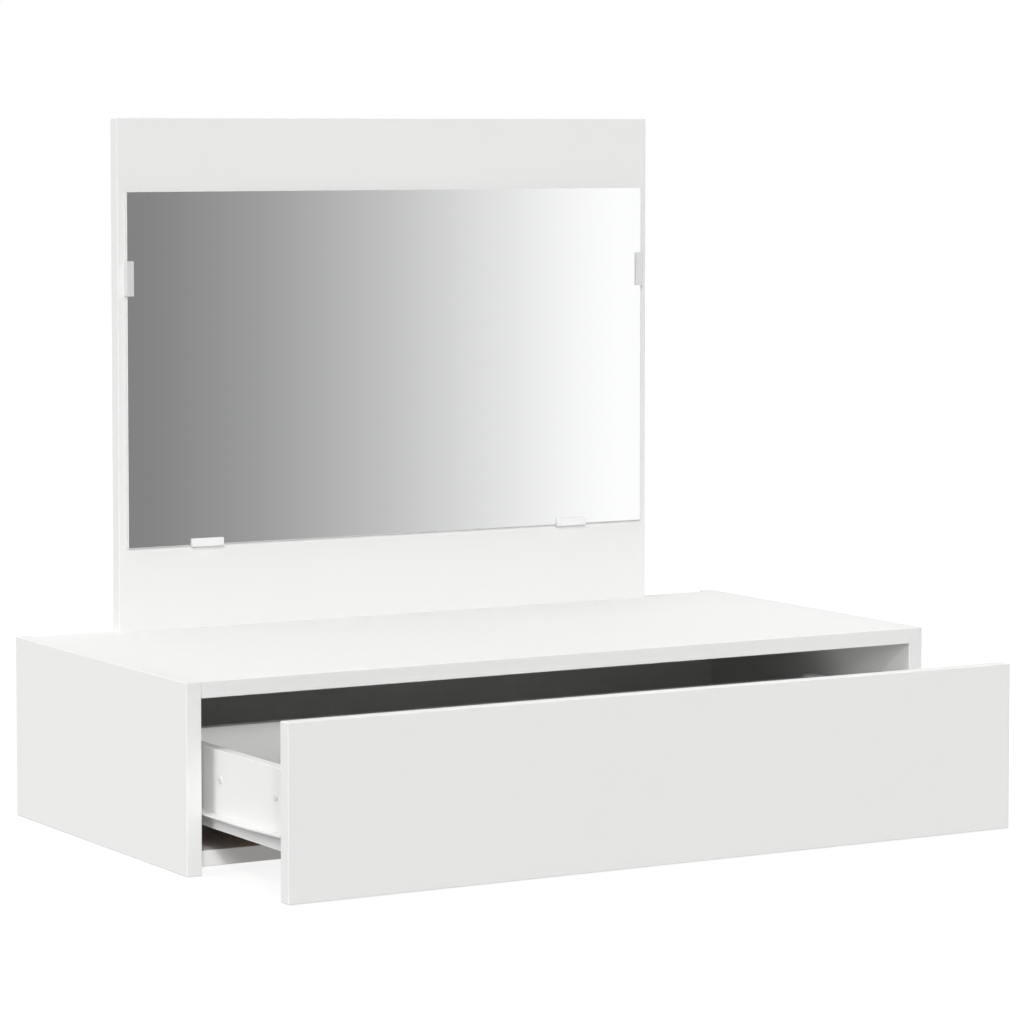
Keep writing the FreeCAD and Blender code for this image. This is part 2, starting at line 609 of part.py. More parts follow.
HEAD_END = "head_sink - end_play"
WEB_FACE = "side_clearance - steel - roller_start"
rear_axle = make_turned("rear_roller_axle_left", [
    (f"{HEAD_END} - axle_head_height", "0"), (f"{HEAD_END} - axle_head_height", "axle_head / 2"),
    (HEAD_END, "axle_head / 2"), (HEAD_END, "axle_diameter / 2"),
    ("roller_width + end_play", "axle_diameter / 2"), ("roller_width + end_play", "axle_collar / 2"),
    (WEB_FACE, "axle_collar / 2"), (WEB_FACE, "axle_shank / 2"),
    (f"{WEB_FACE} + steel", "axle_shank / 2"), (f"{WEB_FACE} + steel", "0"),
], REAR_AXLE)
keep_pair("rear_roller_axle", rear_axle)

# The drawer front fills the opening flush. Its grooved back takes the drawer bottom.

FRONT_WIDTH = f"({CLEAR} - 2 * front_gap)"
SIDE_IN_FRONT = "(side_clearance - front_gap + drawer_board / 2)"
FLOOR_Z = "(drawer_lift + floor_lift)"
drawer_dowels = ("drawer_dowel_low", "drawer_dowel_high")
drawer_cams = ("drawer_cam_low", "drawer_cam_high")

front = make_board("drawer_front", (f"{INNER} + front_gap", DRAWER_FACE, "front_lift"),
                   (FRONT_WIDTH, "board", f"{UNDER} - front_top_gap - front_lift"), ALL_EDGES)
columns = (SIDE_IN_FRONT, f"{FRONT_WIDTH} - {SIDE_IN_FRONT}")
FRONT_BASE = "drawer_lift - front_lift"
drill(front, "XZ", "board", -1, [(x, f"{FRONT_BASE} + {z}") for x in columns for z in drawer_dowels],
      SMALL_DOWEL_HOLE, "dowel_sink + end_play")
drill(front, "XZ", "board", -1, [(x, f"{FRONT_BASE} + {z}") for x in columns for z in drawer_cams],
      THREAD_HOLE, "bolt_sink + end_play")
groove_ends = f"{SIDE_IN_FRONT} + drawer_board / 2 - groove"
mill(front, "XZ", "board", -1, (groove_ends, f"{FLOOR_Z} - front_lift - fit"),
     (f"{FRONT_WIDTH} - ({groove_ends})", f"{FLOOR_Z} - front_lift + drawer_floor + fit"), "groove")
keep(front)

# Drawer sides: grooved inside for the bottom, with cam locks inside and the back's screws from outside.

BACK_SCREW_Y = "drawer_length - drawer_board / 2"
drawer_side = make_board("drawer_side_left", (DRAWER_SIDE, DRAWER_START, "drawer_lift"),
                         ("drawer_board", "drawer_length", "drawer_height"), "x0z1 x1z1 y1z1 x0y1 x1y1")
mill(drawer_side, "YZ", "drawer_board", -1, ("0", "floor_lift - fit"),
     ("drawer_length", "floor_lift + drawer_floor + fit"), "groove")
drill(drawer_side, "YZ", "drawer_board", -1, [("cam_distance", z) for z in drawer_cams], CAM_HOLE,
      "small_cam_height + end_play")
drill(drawer_side, "XZ", "0", 1, [("drawer_board / 2", z) for z in drawer_cams], "bolt_bore", "cam_distance")
drill(drawer_side, "XZ", "0", 1, [("drawer_board / 2", z) for z in drawer_dowels], SMALL_DOWEL_HOLE,
      f"{DOWEL_REST} + end_play")
back_screw_points = [(BACK_SCREW_Y, z) for z in ("back_screw_low", "back_screw_high")]
drill(drawer_side, "YZ", "0", 1, back_screw_points, SCREW_HOLE, "drawer_board")
drill(drawer_side, "YZ", "0", 1, back_screw_points, "screw_head + 2 * fit", "screw_head_height")
cap_points = [(y, "cap_lift") for y in ("cap_near", "cap_far")]
drill(drawer_side, "YZ", "0", 1, cap_points, "cap_plug + 2 * fit", "cap_plug_length + end_play")
runner_points = [("drawer_board / 2", f"drawer_rail_gap + {y}") for y in RAIL_SCREWS]
drill(drawer_side, "XY", "0", 1, runner_points, SCREW_HOLE, "short_screw_length - steel + end_play")
keep_pair("drawer_side", drawer_side)

# The drawer back stands on the drawer bottom, between the sides, a little lower than they are.

INSIDE = f"({CLEAR} - 2 * side_clearance - 2 * drawer_board)"
BACK_BASE = "(floor_lift + drawer_floor)"
FLOOR_SCREWS = [f"{INSIDE} / 2 {sign} {far} * floor_screw_spread / 2" for sign in "-+" for far in (1, 2)]
drawer_back = make_board("drawer_back", (f"{DRAWER_SIDE} + drawer_board",
                                         f"{DRAWER_START} + drawer_length - drawer_board",
                                         f"drawer_lift + {BACK_BASE}"),
                         (INSIDE, "drawer_board", f"drawer_height - back_drop - {BACK_BASE}"), "y0z1 y1z1")
for end, inwards in (("0", 1), (INSIDE, -1)):
    points = [("drawer_board / 2", f"{z} - {BACK_BASE}") for z in ("back_screw_low", "back_screw_high")]
    drill(drawer_back, "YZ", end, inwards, points, SCREW_HOLE,
          "screw_head_height + long_screw_length - drawer_board + end_play")
drill(drawer_back, "XY", "0", 1, [(x, "drawer_board / 2") for x in FLOOR_SCREWS], SCREW_HOLE,
      "screw_length - drawer_floor + end_play")
keep(drawer_back)

# The drawer bottom: thin board, slid into the grooves from behind and screwed to the drawer back.

FLOOR_WIDTH = f"{INSIDE} + 2 * (groove - fit)"
FLOOR_LENGTH = "drawer_length + groove - fit"
drawer_floor = make_board("drawer_bottom", (f"{DRAWER_SIDE} + drawer_board - groove + fit",
                                            f"{DRAWER_START} - groove + fit", FLOOR_Z),
                          (FLOOR_WIDTH, FLOOR_LENGTH, "drawer_floor"))
floor_points = [(f"groove - fit + {x}", f"{FLOOR_LENGTH} - drawer_board / 2") for x in FLOOR_SCREWS]
drill(drawer_floor, "XY", "0", 1, floor_points, SCREW_HOLE, "drawer_floor")
keep(drawer_floor)


# Fasteners are made once, along X, and copied to their places as links.

def make_dowel(label, diameter):
    radius, bevel = f"{diameter} / 2", "dowel_bevel"
    return make_turned(label, [("0", "0"), ("0", f"{radius} - {bevel}"), (bevel, radius),
                               (f"dowel_length - {bevel}", radius),
                               ("dowel_length", f"{radius} - {bevel}"), ("dowel_length", "0")])


def make_screw(label, length):
    """A pan-head screw, its head's crown at X = 0 and its point towards +X."""
    head, shank, crown = "screw_head / 2", "screw_diameter / 2", "screw_head_height / 2"
    body = make_turned(label, [("0", "0"), ("0", f"{head} - {crown}"), (crown, head),
                               ("screw_head_height", head), ("screw_head_height", shank),
                               (f"screw_head_height + {length} - screw_diameter", shank),
                               (f"screw_head_height + {length}", "0")])
    cut_cross(body, "recess_length", "recess_width", "recess_depth")
    return body


def make_cam(label, height, thickness):
    """A cam lock with its slotted face at X = 0, open on its -Y side for the bolt in mid board."""
    radius = "cam_diameter / 2"
    body = make_turned(label, [("0", "0"), ("0", radius), (height, radius), (height, "0")])
    cut_cross(body, "cam_slot_length", "cam_slot_width", "cam_slot_depth")
    drill(body, "XZ", f"-{radius}", 1, [(f"{thickness} / 2", "0")], "bolt_bore",
          f"{radius} + bolt_head_height")
    return body


dowel = make_dowel("dowel", "dowel_diameter")
small_dowel = make_dowel("small_dowel", "small_dowel_diameter")
screw = make_screw("screw", "screw_length")
short_screw = make_screw("short_screw", "short_screw_length")
long_screw = make_screw("long_screw", "long_screw_length")
cam = make_cam("cam", "cam_height", "board")
small_cam = make_cam("small_cam", "small_cam_height", "drawer_board")

# The cam bolt: thread in the crossing board, shaft in the board's end, neck and head in the cam lock.

BOLT_END = "bolt_sink + cam_distance"
NECK_START = f"{BOLT_END} - 2 * bolt_head_height"
bolt = make_turned("cam_bolt", [
    ("0", "0"), ("0", "bolt_thread / 2"), ("bolt_sink", "bolt_thread / 2"), ("bolt_sink", "bolt_shaft / 2"),
    (NECK_START, "bolt_shaft / 2"), (NECK_START, "bolt_neck / 2"),
    (f"{BOLT_END} - bolt_head_height", "bolt_neck / 2"), (f"{BOLT_END} - bolt_head_height", "bolt_head / 2"),
    (BOLT_END, "bolt_head / 2"), (BOLT_END, "0")])

# A hole cap: a low crowned head on a short plug, pushed in towards +X.

CAP_END = "cap_rise + cap_plug_length"
cap = make_turned("cap", [("0", "0"), ("0", "cap_plug / 2"), ("cap_rise / 2", "cap_diameter / 2"),
                          ("cap_rise", "cap_diameter / 2"), ("cap_rise", "cap_plug / 2"),
                          (CAP_END, "cap_plug / 2"), (CAP_END, "0")])

# Turns that carry a fastener's X and Y axes to the named directions.

LEFTWARD, FORWARD, DOWN = -RIGHT, -REARWARD, -UP


def turn_to(x_axis, y_axis):
    return Rotation(x_axis, y_axis, x_axis.cross(y_axis), "XYZ")


# Cabinet fasteners on the left, mirrored to the right.

top_cams = [(f"{INNER} + cam_distance", f"{FRONT} + {y}", UNDER) for y in TOP_CAMS]
bottom_cams = [(f"{INNER} + cam_distance", f"{FRONT} + {y}", "board") for y in BOTTOM_CAMS]
back_cams = [(f"{INNER} + cam_distance", BACK, BACK_CAM)]
keep_group("cabinet_cam_locks", link_copies("top_cam", cam, top_cams, turn_to(UP, RIGHT))
           + link_copies("bottom_cam", cam, bottom_cams, turn_to(DOWN, RIGHT))
           + link_copies("back_cam", cam, back_cams, turn_to(FORWARD, RIGHT)))
AS_MADE = turn_to(RIGHT, REARWARD)
bolts = [(f"{INNER} - bolt_sink", f"{FRONT} + {y}", z) for y, z in cam_points]
keep_group("cabinet_cam_bolts", link_copies("cabinet_bolt", bolt, bolts, AS_MADE))
dowels = [(f"{INNER} - dowel_sink", f"{FRONT} + {y}", z) for y, z in dowel_points]
keep_group("cabinet_dowels", link_copies("cabinet_dowel", dowel, dowels, AS_MADE))
board_dowels = [(f"-{x}", f"{BACK} - board / 2", "height - dowel_sink")
                for x in ("board_dowel_near", "board_dowel_far")]
keep_group("mirror_board_dowels", link_copies("board_dowel", dowel, board_dowels, turn_to(UP, RIGHT)))
plate_screws = [("-plate_spread / 2", f"{BACK} + plate + screw_head_height", f"plate_lift + {z}")
                for z in (*LOWER_PLATE_SCREWS, *UPPER_PLATE_SCREWS)]
keep_group("joining_plate_screws", link_copies("plate_screw", screw, plate_screws, turn_to(FORWARD, RIGHT)))
rail_screws = [(f"{INNER} + steel + screw_head_height", f"{RAIL_START} + {y}", "rail_lift + rail_screw_rise")
               for y in RAIL_SCREWS]
keep_group("cabinet_runner_screws",
           link_copies("rail_screw", screw, rail_screws, turn_to(LEFTWARD, FORWARD)))

# Drawer fasteners on the left, mirrored to the right.

SIDE_MIDDLE = f"{DRAWER_SIDE} + drawer_board / 2"
small_cams = [(f"{DRAWER_SIDE} + drawer_board", f"{DRAWER_START} + cam_distance", f"drawer_lift + {z}")
              for z in drawer_cams]
keep_group("drawer_cam_locks", link_copies("drawer_cam", small_cam, small_cams, turn_to(LEFTWARD, REARWARD)))
drawer_bolts = [(SIDE_MIDDLE, f"{DRAWER_START} - bolt_sink", f"drawer_lift + {z}") for z in drawer_cams]
keep_group("drawer_cam_bolts", link_copies("drawer_bolt", bolt, drawer_bolts, turn_to(REARWARD, LEFTWARD)))
small_dowels = [(SIDE_MIDDLE, f"{DRAWER_START} - dowel_sink", f"drawer_lift + {z}") for z in drawer_dowels]
keep_group("drawer_dowels",
           link_copies("drawer_dowel", small_dowel, small_dowels, turn_to(REARWARD, LEFTWARD)))
back_screws = [(DRAWER_SIDE, f"{DRAWER_START} + {y}", f"drawer_lift + {z}") for y, z in back_screw_points]
keep_group("drawer_back_screws", link_copies("back_screw", long_screw, back_screws, AS_MADE))
foot_places = [(SIDE_MIDDLE, f"{DRAWER_RAIL_START} + {y}", "drawer_lift - steel - screw_head_height")
               for y in RAIL_SCREWS]
keep_group("drawer_runner_screws", link_copies("foot_screw", short_screw, foot_places, turn_to(UP, RIGHT)))
floor_screws = [(f"-{far} * floor_screw_spread / 2", f"{DRAWER_START} + {BACK_SCREW_Y}",
                 f"{FLOOR_Z} - screw_head_height") for far in (1, 2)]
keep_group("drawer_bottom_screws", link_copies("floor_screw", screw, floor_screws, turn_to(UP, RIGHT)))
caps = [(f"{DRAWER_SIDE} - cap_rise", f"{DRAWER_START} + {y}", f"drawer_lift + {z}") for y, z in cap_points]
keep_group("drawer_side_caps", link_copies("side_cap", cap, caps, AS_MADE))

# Every object has to be sound before anything is written.

doc.recompute()
for thing in doc.Objects:
    if "Invalid" in thing.State or "Error" in thing.State:
        raise RuntimeError(f"{thing.Label} failed: {thing.State}")
for node in nodes:
    if node.Shape.isNull() or not node.Shape.isValid():
        raise RuntimeError(f"{node.Label} has no valid shape")

os.makedirs("parts", exist_ok=True)
for node in nodes:
    node.Shape.exportStep(f"parts/{node.Label}.step")
print(f"{len(nodes)} sub-parts written")
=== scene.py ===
from math import radians

import bpy
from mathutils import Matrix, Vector


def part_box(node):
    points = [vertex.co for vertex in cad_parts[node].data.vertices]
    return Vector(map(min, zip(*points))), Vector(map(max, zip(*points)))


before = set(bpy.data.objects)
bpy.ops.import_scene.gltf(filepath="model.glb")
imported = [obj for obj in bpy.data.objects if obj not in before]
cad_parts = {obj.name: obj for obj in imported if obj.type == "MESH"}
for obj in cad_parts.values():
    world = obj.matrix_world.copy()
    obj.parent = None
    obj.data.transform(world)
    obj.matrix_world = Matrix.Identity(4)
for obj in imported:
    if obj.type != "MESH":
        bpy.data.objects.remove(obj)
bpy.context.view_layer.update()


# Side panels: 15 mm chipboard, faced with white melamine paper and closed on every edge with a plastic
# band. They carry everything else: the other boards stand between them on dowels, drawn up with cam locks.

SIDES = ("left", "right")
X, Y, Z = range(3)
FAR = 10.0  # metres, well outside the object

MELAMINE_WHITE = (0.8, 0.8, 0.793, 1)
PAPER_CLOUDING = 0.992  # darkest cloud of the paper, as a share of its white
PAPER_ROUGHNESS = (0.56, 0.64)
PAPER_GLOSS = 0.3
PAPER_DEPTH = (0.0002, 0.0003)  # a surface deeper than this under a face is a cut
BAND_WHITE = (0.785, 0.785, 0.779, 1)
BAND_ROUGHNESS = 0.42
BAND_THICKNESS = 0.0008
BAND_BLUR = 0.03  # share of its thickness over which a band meets the paper
GLUE_LINE = (0.6, 0.595, 0.57, 1)
GLUE_HALF_WIDTH = 0.00005
CHIP_PALE = (0.66, 0.51, 0.33, 1)
CHIP_DARK = (0.33, 0.22, 0.12, 1)
CHIP_CONTRAST = (0.1, 0.6)
CHIP_ROUGHNESS = 0.9
PORE_DEPTH = 2.0  # pores between chips, against the paper's grain


def feed(tree, node, inputs):
    """Links or sets a node's inputs, by name or number."""
    for key, value in inputs.items():
        if isinstance(value, bpy.types.NodeSocket):
            tree.links.new(value, node.inputs[key])
        else:
            node.inputs[key].default_value = value


def put(tree, kind, inputs, **settings):
    """Adds a shader node, sets its properties and feeds its inputs."""
    node = tree.nodes.new("ShaderNode" + kind)
    for name, setting in settings.items():
        setattr(node, name, setting)
    feed(tree, node, inputs)
    return node


def reckon(tree, operation, *values):
    """The result of a Math node on sockets or numbers."""
    return put(tree, "Math", dict(enumerate(values)), operation=operation).outputs[0]


def reckon_vector(tree, operation, first, second):
    """The result of a Vector Math node on sockets or vectors."""
    return put(tree, "VectorMath", {0: first, 1: second}, operation=operation).outputs[0]


def split(tree, vector):
    """The three components of a vector or colour."""
    return put(tree, "SeparateXYZ", {0: vector}).outputs


def noise(tree, spot, scale, detail=2.0):
    """Cloudy noise between 0 and 1."""
    return put(tree, "TexNoise", {"Vector": spot, "Scale": scale, "Detail": detail}).outputs["Fac"]


def smooth_step(tree, value, low, high):
    """0 below low, 1 above high, and smooth between."""
    node = put(tree, "MapRange", {"Value": value, "From Min": low, "From Max": high},
               interpolation_type="SMOOTHSTEP")
    return node.outputs["Result"]


def mix_colours(tree, mask, first, second):
    """First colour where the mask is 0, second where it is 1."""
    return put(tree, "Mix", {0: mask, 6: first, 7: second}, data_type="RGBA").outputs[2]


def mix_values(tree, mask, first, second):
    """First value where the mask is 0, second where it is 1."""
    return put(tree, "MapRange", {"Value": mask, "To Min": first, "To Max": second}).outputs["Result"]


def shaded(colour, share):
    """An opaque colour made darker by a share."""
    return [*(channel * share for channel in colour[:3]), 1]


def nearest_side(tree, spot, low, high):
    """The least distance of a point from the sides of a box, in metres."""
    above = reckon_vector(tree, "SUBTRACT", spot, low)
    below = reckon_vector(tree, "SUBTRACT", high, spot)
    x, y, z = split(tree, reckon_vector(tree, "MINIMUM", above, below))
    return reckon(tree, "MINIMUM", reckon(tree, "MINIMUM", x, y), z)


def make_melamine_board():
    """The node group of a faced board: paper on broad faces, bands on edges, chips where it is cut."""
    tree = bpy.data.node_groups.new("melamine_board", "ShaderNodeTree")
    for label in ("Position", "Face Low", "Face High", "Band Low", "Band High"):
        tree.interface.new_socket(label, in_out="INPUT", socket_type="NodeSocketVector")
    for label, kind in (("Color", "Color"), ("Roughness", "Float"), ("Height", "Float")):
        tree.interface.new_socket(label, in_out="OUTPUT", socket_type="NodeSocket" + kind)
    given = tree.nodes.new("NodeGroupInput").outputs
    spot = given["Position"]

    depth = nearest_side(tree, spot, given["Face Low"], given["Face High"])
    inset = nearest_side(tree, spot, given["Band Low"], given["Band High"])
    past_band = smooth_step(tree, inset, BAND_THICKNESS * (1 - BAND_BLUR), BAND_THICKNESS * (1 + BAND_BLUR))
    on_glue_line = reckon(tree, "COMPARE", inset, BAND_THICKNESS, GLUE_HALF_WIDTH)
    cut = reckon(tree, "MULTIPLY", smooth_step(tree, depth, *PAPER_DEPTH), past_band)

    cloud = noise(tree, spot, scale=7.0, detail=3.0)
    paper = mix_colours(tree, cloud, shaded(MELAMINE_WHITE, PAPER_CLOUDING), MELAMINE_WHITE)
    white = mix_colours(tree, past_band, BAND_WHITE, paper)
    white = mix_colours(tree, on_glue_line, white, GLUE_LINE)

    chips = put(tree, "TexVoronoi", {"Vector": spot, "Scale": 420.0, "Randomness": 1.0}).outputs
    flakes = noise(tree, spot, scale=900.0, detail=4.0)
    tone = reckon(tree, "MULTIPLY", split(tree, chips["Color"])[0], flakes)
    core = mix_colours(tree, smooth_step(tree, tone, *CHIP_CONTRAST), CHIP_DARK, CHIP_PALE)

    paper_roughness = mix_values(tree, cloud, *PAPER_ROUGHNESS)
    white_roughness = mix_values(tree, past_band, BAND_ROUGHNESS, paper_roughness)
    pearl = noise(tree, spot, scale=1900.0)
    pores = mix_values(tree, chips["Distance"], 0.0, PORE_DEPTH)
    feed(tree, tree.nodes.new("NodeGroupOutput"), {
        "Color": mix_colours(tree, cut, white, core),
        "Roughness": mix_values(tree, cut, white_roughness, CHIP_ROUGHNESS),
        "Height": mix_values(tree, cut, pearl, pores),
    })
    return tree


def new_material(name):
    """A material, its node tree, its Principled shader and the object coordinates."""
    material = bpy.data.materials.new(name)
    material.use_nodes = True
    tree = material.node_tree
    shader = next(node for node in tree.nodes if node.type == "BSDF_PRINCIPLED")
    return material, tree, shader, put(tree, "TexCoord", {}).outputs["Object"]


def add_bump(tree, shader, height, depth, strength):
    """Fine relief on a shader: depth is the height of its bumps in metres."""
    bump = put(tree, "Bump", {"Height": height, "Distance": depth, "Strength": strength})
    feed(tree, shader, {"Normal": bump.outputs["Normal"]})


def finish_node(name, material):
    """Puts a material on a CAD node."""
    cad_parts[name].material_slots[0].material = material


def finish_board(name, thin_axis, banded):
    """Gives a board its melamine. banded lists its closed edges by axis and end, such as y0 for the front."""
    low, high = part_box(name)
    face_low, face_high = Vector((-FAR,) * 3), Vector((FAR,) * 3)
    band_low, band_high = face_low.copy(), face_high.copy()
    face_low[thin_axis], face_high[thin_axis] = low[thin_axis], high[thin_axis]
    for letter, end in banded.split():
        axis = "xyz".index(letter)
        if end == "0":
            band_low[axis] = low[axis]
        else:
            band_high[axis] = high[axis]
    material, tree, shader, spot = new_material(name + "_melamine")
    corners = {"Face Low": face_low, "Face High": face_high, "Band Low": band_low, "Band High": band_high}
    board = put(tree, "Group", {"Position": spot, **corners}, node_tree=melamine_board).outputs
    feed(tree, shader, {"Base Color": board["Color"], "Roughness": board["Roughness"],
                        "Specular IOR Level": PAPER_GLOSS})
    add_bump(tree, shader, board["Height"], depth=0.00003, strength=0.35)
    finish_node(name, material)


melamine_board = make_melamine_board()
for side in SIDES:
    finish_board("side_panel_" + side, X, "y0 y1 z0 z1")


# Top, bottom and back panels: the same faced board, set between the side panels on dowels and drawn up
# with cam locks. The bottom's rear edge is left raw, and the back panel's edges are all covered.

finish_board("top_panel", Z, "y0 y1")
finish_board("bottom_panel", Z, "y0")
finish_board("back_panel", Y, "")


# Mirror board: a tall sheet of the same faced board, banded on its three free edges. It stands on the
# rear of the top panel on dowels, and two steel plates behind join it to the back panel.

finish_board("mirror_board", Y, "x0 x1 z1")


# Mirror: 4 mm float glass, silvered behind, with a ground edge and a narrow matt bevel in front. It is
# held by clips. For light that bounces off other surfaces it counts as grey, which keeps the lamps'
# mirrored spots off the table.

SILVER = (0.95, 0.96, 0.955, 1)
GROUND_DARK = (0.62, 0.638, 0.632, 1)
GROUND_PALE = (0.7, 0.715, 0.71, 1)
BOUNCE_GREY = (0.5, 0.5, 0.5, 1)
BEVEL_WIDTH = (0.00055, 0.00065)
GROUND_ROUGHNESS = 0.38
SILVER_ROUGHNESS = 0.012

silvered_glass, tree, shader, spot = new_material("silvered_glass")
low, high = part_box("mirror_glass")
low.y, high.y = -FAR, FAR
polished = smooth_step(tree, nearest_side(tree, spot, low, high), *BEVEL_WIDTH)
ground = mix_colours(tree, noise(tree, spot, scale=2500.0), GROUND_DARK, GROUND_PALE)
bounced = put(tree, "LightPath", {}).outputs["Is Diffuse Ray"]
metallic = put(tree, "Math", {0: polished, 1: bounced}, operation="SUBTRACT", use_clamp=True).outputs[0]
feed(tree, shader, {
    "Base Color": mix_colours(tree, bounced, mix_colours(tree, polished, ground, SILVER), BOUNCE_GREY),
    "Metallic": metallic,
    "Roughness": mix_values(tree, polished, GROUND_ROUGHNESS, SILVER_ROUGHNESS),
})
finish_node("mirror_glass", silvered_glass)


# Mirror clips: moulded plastic, two white ones below the glass and one at each side, whose lower tone is
# painted shade rather than a greyer plastic. A lip laps over the glass, and a flat tongue is pushed into the
# mirror board.

# The side clips' lower tone is painted shade on the same white plastic as the bottom clips.
CLIP_TONES_SIDE_SHADED = {"bottom": 0.83, "side": 0.68}
CLIP_ROUGHNESS = 0.32
FLOW_SHADE = 0.965
FLOW_SHEEN = 0.05


def moulded_plastic(name, colour, roughness, grain):
    """Moulded plastic: an even colour with faint flow clouds, and a fine die grain of the given scale."""
    material, tree, shader, spot = new_material(name)
    cloud = noise(tree, spot, scale=90.0)
    feed(tree, shader, {
        "Base Color": mix_colours(tree, cloud, shaded(colour, FLOW_SHADE), [*colour, 1]),
        "Roughness": mix_values(tree, cloud, roughness - FLOW_SHEEN, roughness + FLOW_SHEEN),
    })
    add_bump(tree, shader, noise(tree, spot, scale=grain), depth=0.00002, strength=0.4)
    return material


for place, tone in CLIP_TONES_SIDE_SHADED.items():
    clip_plastic = moulded_plastic("clip_plastic_" + place, (tone, tone, tone), CLIP_ROUGHNESS, grain=3000.0)
    for side in SIDES:
        finish_node(f"mirror_clip_{place}_{side}", clip_plastic)


# Joining plates and zinc fasteners: plates, screws, cam locks, cam bolts and roller axles, all bright
# zinc-plated, with the faint cloudy spangle and fine scratches of plated steel.

ZINC_DULL = (0.55, 0.56, 0.57, 1)
ZINC_BRIGHT = (0.7, 0.71, 0.72, 1)
ZINC_ROUGHNESS = (0.28, 0.42)

zinc_steel, tree, shader, spot = new_material("zinc_steel")
spangle = put(tree, "TexVoronoi", {"Vector": spot, "Scale": 350.0}).outputs["Distance"]
haze = noise(tree, spot, scale=60.0, detail=3.0)
feed(tree, shader, {
    "Base Color": mix_colours(tree, haze, ZINC_DULL, ZINC_BRIGHT),
    "Metallic": 1.0,
    "Roughness": mix_values(tree, spangle, *ZINC_ROUGHNESS),
})
add_bump(tree, shader, noise(tree, spot, scale=1400.0), depth=0.00001, strength=0.3)
for name in ("joining_plate_screws", "cabinet_runner_screws", "cabinet_cam_locks", "cabinet_cam_bolts",
             "drawer_cam_locks", "drawer_cam_bolts", "drawer_back_screws", "drawer_runner_screws",
             "drawer_bottom_screws"):
    finish_node(name, zinc_steel)
for name in ("joining_plate_", "front_roller_axle_", "rear_roller_axle_"):
    for side in SIDES:
        finish_node(name + side, zinc_steel)


# Dowels: plain beech pins with bevelled ends, which reach into both boards of a joint and place them.
# Their fibre is drawn out along the table's width, the way most of them lie.

BEECH_DARK = (0.5, 0.33, 0.2, 1)
BEECH_PALE = (0.74, 0.56, 0.38, 1)
BEECH_ROUGHNESS = (0.5, 0.7)
FIBRE_STRETCH = (60.0, 900.0, 900.0)

beech, tree, shader, spot = new_material("beech")
along_fibre = put(tree, "Mapping", {"Vector": spot, "Scale": FIBRE_STRETCH}).outputs["Vector"]
fibre = noise(tree, along_fibre, scale=1.0, detail=4.0)
feed(tree, shader, {
    "Base Color": mix_colours(tree, fibre, BEECH_DARK, BEECH_PALE),
    "Roughness": mix_values(tree, fibre, *BEECH_ROUGHNESS),
})
for name in ("cabinet_dowels", "mirror_board_dowels", "drawer_dowels"):
    finish_node(name, beech)


# Runners: rolled sheet steel under a white baked epoxy coat, which has a slight orange peel. One member
# is screwed to each side panel, and one under each drawer side.

COAT_THIN = (0.71, 0.71, 0.705, 1)
COAT_THICK = (0.74, 0.74, 0.735, 1)
COAT_ROUGHNESS = (0.3, 0.4)

runner_steel, tree, shader, spot = new_material("runner_steel")
film = noise(tree, spot, scale=40.0)
feed(tree, shader, {
    "Base Color": mix_colours(tree, film, COAT_THIN, COAT_THICK),
    "Roughness": mix_values(tree, film, *COAT_ROUGHNESS),
})
add_bump(tree, shader, noise(tree, spot, scale=700.0), depth=0.00006, strength=0.4)
for member in ("cabinet_runner_", "drawer_runner_"):
    for side in SIDES:
        finish_node(member + side, runner_steel)


# Rollers: moulded wheels of natural nylon, a little yellow beside the boards. They turn on riveted axles,
# at the front of the cabinet's runner members and at the rear of the drawer's.

roller_nylon = moulded_plastic("roller_nylon", (0.8, 0.79, 0.75), roughness=0.45, grain=1600.0)
for end in ("front", "rear"):
    for side in SIDES:
        finish_node(f"{end}_roller_{side}", roller_nylon)


# Drawer: a faced front banded all round, drawn on to the sides with cam locks. The sides and the back are
# thinner faced board, screwed together, and small grey plastic caps close holes in the sides.

finish_board("drawer_front", Y, "x0 x1 z0 z1")
for side in SIDES:
    finish_board("drawer_side_" + side, X, "y1 z1")
finish_board("drawer_back", Y, "z1")
cap_plastic = moulded_plastic("cap_plastic", (0.68, 0.68, 0.68), roughness=0.6, grain=3000.0)
finish_node("drawer_side_caps", cap_plastic)


# Drawer bottom: thin hardboard, lacquered white above and bare brown fibre below, with the print of the
# press's wire mesh. It slides into the grooves of the front and sides, and is screwed to the back.

FIBRE_DARK = (0.13, 0.084, 0.05, 1)
FIBRE_BROWN = (0.25, 0.168, 0.105, 1)
LACQUER_THIN = (0.8, 0.8, 0.785, 1)
LACQUER_THICK = (0.835, 0.835, 0.825, 1)
FIBRE_ROUGHNESS = 0.8
LACQUER_ROUGHNESS = 0.4
LACQUER_DEPTH = (0.0004, 0.0003)

white_hardboard, tree, shader, spot = new_material("white_hardboard")
upper_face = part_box("drawer_bottom")[1].z
lacquered = smooth_step(tree, split(tree, spot)[Z], *(upper_face - depth for depth in LACQUER_DEPTH))
fibre = noise(tree, spot, scale=600.0, detail=5.0)
brown = mix_colours(tree, fibre, FIBRE_DARK, FIBRE_BROWN)
white = mix_colours(tree, fibre, LACQUER_THIN, LACQUER_THICK)
feed(tree, shader, {
    "Base Color": mix_colours(tree, lacquered, brown, white),
    "Roughness": mix_values(tree, lacquered, FIBRE_ROUGHNESS, LACQUER_ROUGHNESS),
})
mesh_print = put(tree, "TexVoronoi", {"Vector": spot, "Scale": 500.0}).outputs["Distance"]
add_bump(tree, shader, mesh_print, depth=0.00008, strength=0.4)
finish_node("drawer_bottom", white_hardboard)


# Floor: a plain white sheet just under the object. Most of its white is a glow, and the rest is matt
# paint, which keeps a faint shadow. Only the camera sees it, because the surround below lights the object.

FLOOR_WIDTH = 24
FLOOR_DROP = 0.0004
FLOOR_GLOW = 0.87
FLOOR_PAINT = (0.16, 0.16, 0.16, 1)
PURE_WHITE = (1, 1, 1, 1)

